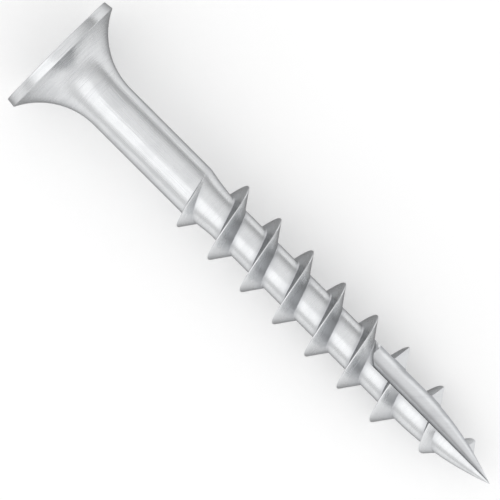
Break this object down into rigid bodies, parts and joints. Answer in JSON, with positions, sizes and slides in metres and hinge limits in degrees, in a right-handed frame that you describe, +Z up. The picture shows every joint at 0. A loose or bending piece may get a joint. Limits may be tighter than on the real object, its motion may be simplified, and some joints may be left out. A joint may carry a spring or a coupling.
{
  "type": "deck screw",
  "caption": "Bugle-head deck screw with a square recess, smooth shank, coarse right-hand thread and a fluted self-starting point.",
  "frame": {"origin": "centre of the lying screw's box, at the height of the surface that it lies on", "axes": "+X along the screw from head to point, +Z up; the screw rests on its rim and a crest of its thread, so its own axis falls 3.5 degrees towards the point"},
  "size_m": [0.0416, 0.0094, 0.0094],
  "materials": {
    "steel": "bright, smooth as rolled, with fine turning lines round the head"
  },
  "bodies": {
    "root": {"deck_screw": "steel"}
  },
  "joints": []
}
